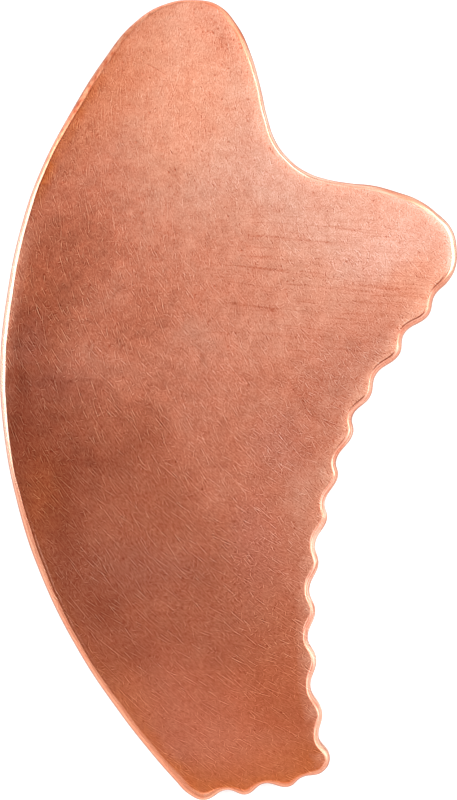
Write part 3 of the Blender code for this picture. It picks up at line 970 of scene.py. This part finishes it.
    # the rim is rubbed paler and painted lit, or left dull and painted shaded, and its wall gets a
    # painted dark reflection
    smears = alongRim("smearPattern", 2.0)
    dullAndShaded = product(tree, rubbedAndLit, -1.0)
    onSide = product(tree, onComb, fade(tree, way, *rimWearAndLight["sideEnds"]))
    rimColour = mixColours(tree, onSide, tint("rimColour"), tint("combColour"))
    rimColour = mixColours(tree, rubbedAndLit, rimColour, tint("rubbedAndLitColour"))
    rimColour = mixColours(tree, dullAndShaded, rimColour, tint("dullAndShadedColour"))
    # the wall's painted dark reflection, paler where the rim is rubbed and painted lit
    paleWall = product(tree, onSide, fade(tree, way, *rimWearAndLight["wallOnSide"]))
    paleWall = plus(tree, paleWall, rubbedAndLit, rimWearAndLight["wallRubbedAndLit"])
    wallShadeColour = mixColours(tree, paleWall, tint("wallShadeColour"), tint("rubbedAndLitColour"))
    onWall = fade(tree, inward, *rimWearAndLight["wallBand"])
    rimColour = mixColours(tree, onWall, rimColour, wallShadeColour)
    rimShare = product(tree, onRim, fade(tree, smears, *rimWearAndLight["smearShare"]))
    colour = mixColours(tree, rimShare, colour, rimColour)

    # a little dirt and painted shade lie along its inner line, with a painted highlight as a pale lip
    # beside it
    crease = fade(tree, gap(tree, pastRim, rimWearAndLight["creaseAt"]), *rimWearAndLight["creaseFade"])
    crease = product(tree, crease, dirtAndShade, fade(tree, smears, *rimWearAndLight["creaseShare"]))
    colour = mixColours(tree, crease, colour, tint("dirtAndShadeColour"))
    lip = fade(tree, gap(tree, pastRim, rimWearAndLight["lipAt"]), *rimWearAndLight["lipFade"])
    lipShare = fade(tree, alongRim("lipPattern", 2.0), *rimWearAndLight["lipShare"])
    lipShare = product(tree, fade(tree, way, *rimWearAndLight["lipEnds"]), lipShare)
    colour = mixColours(tree, product(tree, lip, dirtAndShade, lipShare), colour, tint("glowColour"))

    # lines along the rim, and beads up the back edge
    rimLines = product(tree, fade(tree, alongRim("linePattern", 2.0), *rimWearAndLight["lineTone"]), onRim)
    rimLines = product(tree, rimLines, fade(tree, way, *rimWearAndLight["lineOnSide"]))
    rimLines = product(tree, rimLines, fade(tree, way, *rimWearAndLight["lineOnToe"]))
    beads = alongRim("beadPattern", 1.0)
    beaded = product(tree, fade(tree, way, *rimWearAndLight["beadTone"]), onRim)
    fromMiddle = calc(tree, "SUBTRACT", beads, rimWearAndLight["beadMiddle"])
    rimLines = plus(tree, rimLines, fromMiddle, beaded)
    height = plus(tree, height, product(tree, beads, onRim), rimWearAndLight["beadHeight"])

    # a lighter spot is paler too: the red changes least and the blue most
    faceTone = product(tree, calc(tree, "SUBTRACT", tone, 1.0), onRim)
    tone = calc(tree, "ADD", plus(tree, tone, faceTone, rimWearAndLight["faceToneLost"]), rimLines)
    tone = calc(tree, "MAXIMUM", tone, copper["darkestTone"])
    hue = evenly(tree, noise(tree, inMm, copper["hueSize"], 2.0))
    redTone = calc(tree, "POWER", tone, fade(tree, polishAndLight, *copper["redPower"]))
    blueTone = calc(tree, "POWER", tone, fade(tree, polishAndLight, *copper["bluePower"]))
    redShift, greenShift, blueShift = copper["hueShifts"]
    red = plus(tree, redTone, hue, redShift)
    green = plus(tree, tone, hue, greenShift)
    blue = plus(tree, blueTone, hue, blueShift)
    toneColour = addNode(tree, "CombineXYZ", {0: red, 1: green, 2: blue}).outputs[0]
    colour = mixColours(tree, 1.0, colour, toneColour, "MULTIPLY")
    tree.links.new(colour, shader.inputs["Base Color"])

    roughGain = fade(tree, placeUp, *copper["speckleRoughness"])
    faceRough = plus(tree, copper["roughness"], speckle, roughGain)
    rough = plus(tree, faceRough, onRim, copper["rimRoughness"] - copper["roughness"])
    rougher = product(tree, onComb, fade(tree, way, *rimWearAndLight["rougherComb"]))
    rougher = plus(tree, rougher, calc(tree, "MAXIMUM", dullAndShaded, 0.0), rimWearAndLight["rougherWhereDull"])
    browAndHead = calc(tree, "ADD", onWay("brow"), onWay("head"))
    rougher = plus(tree, rougher, browAndHead, rimWearAndLight["rougherBrowAndHead"])
    rough = plus(tree, rough, rougher, onRim)
    tree.links.new(rough, shader.inputs["Roughness"])
    bump = addNode(tree, "Bump", {"Height": height, "Distance": mm, "Strength": 1.0})
    tree.links.new(bump.outputs["Normal"], shader.inputs["Normal"])
    return material


def makeCamera(setup):
    data = bpy.data.cameras.new("straightDown")
    data.lens = setup["lens"]
    data.sensor_width = setup["sensor"]
    data.clip_start = setup["clipStart"]
    camera = bpy.data.objects.new("straightDown", data)
    reach = setup["pictureHeight"] * setup["lens"] / setup["sensor"]
    camera.location = (0, 0, setup["outlineLevel"] + reach)
    scene.collection.objects.link(camera)
    scene.camera = camera


def makeSoftbox(name, setup):
    # a rectangle of light aimed at the plate; its power is radiance times pi times its area
    azimuth = radians(setup["azimuth"])
    zenith = radians(setup["zenith"])
    data = bpy.data.lights.new(name, "AREA")
    data.shape = "RECTANGLE"
    data.size, data.size_y = setup["size"]
    data.energy = setup["radiance"] * pi * data.size * data.size_y
    light = bpy.data.objects.new(name, data)
    toward = Vector((sin(zenith) * cos(azimuth), sin(zenith) * sin(azimuth), cos(zenith)))
    light.location = toward * setup["away"]
    light.rotation_euler = toward.to_track_quat("Z", "Y").to_euler()
    scene.collection.objects.link(light)


def makeSky():
    # the strength goes from the horizon's to the overhead one as the direction rises
    world = bpy.data.worlds.new("studio")
    world.use_nodes = True
    tree = world.node_tree
    tree.nodes.clear()
    direction = addNode(tree, "TexCoord", {}).outputs["Generated"]
    upward = addNode(tree, "SeparateXYZ", {0: direction}).outputs["Z"]
    strength = fade(tree, upward, sky["darkensFrom"], sky["darkensTo"],
                    sky["horizonLight"], sky["overheadLight"])
    background = addNode(tree, "Background", {"Color": (1, 1, 1, 1), "Strength": strength})
    addNode(tree, "OutputWorld", {"Surface": background.outputs["Background"]})
    scene.world = world


def makeFloor():
    # a square table, lifted to white for the camera and in reflections only
    material = bpy.data.materials.new("whiteTable")
    material.use_nodes = True
    tree = material.node_tree
    shader = tree.nodes["Principled BSDF"]
    shader.inputs["Base Color"].default_value = floorSetup["colour"]
    shader.inputs["Roughness"].default_value = floorSetup["roughness"]
    shader.inputs["Specular IOR Level"].default_value = 0.0
    shader.inputs["Emission Color"].default_value = (1, 1, 1, 1)
    ray = addNode(tree, "LightPath", {})
    shown = calc(tree, "ADD", ray.outputs["Is Camera Ray"], ray.outputs["Is Glossy Ray"])
    shown = calc(tree, "ADD", shown, ray.outputs["Is Transmission Ray"])
    lift = calc(tree, "MULTIPLY", shown, floorSetup["lift"])
    tree.links.new(lift, shader.inputs["Emission Strength"])
    half = floorSetup["size"] / 2
    corners = [(-half, -half, 0), (half, -half, 0), (half, half, 0), (-half, half, 0)]
    mesh = bpy.data.meshes.new("table")
    mesh.from_pydata(corners, [], [(0, 1, 2, 3)])
    mesh.materials.append(material)
    floor = bpy.data.objects.new("table", mesh)
    scene.collection.objects.link(floor)


scene.view_settings.view_transform = "Standard"
makeCamera(cameraSetup)
for name, setup in softboxes.items():
    makeSoftbox(name, setup)
makeSky()
makeFloor()
print("camera, lights and table made")

copperFinishAndLight = copperMaterial()
print("copper finish made:", len(copperFinishAndLight.node_tree.nodes), "nodes")
copperPlate = makePlate("copperPlate", copperFinishAndLight)
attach(copperPlate, "root")
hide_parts("scraping_plate")
print("plate made:", len(copperPlate.data.vertices), "vertices")

bpy.context.view_layer.update()
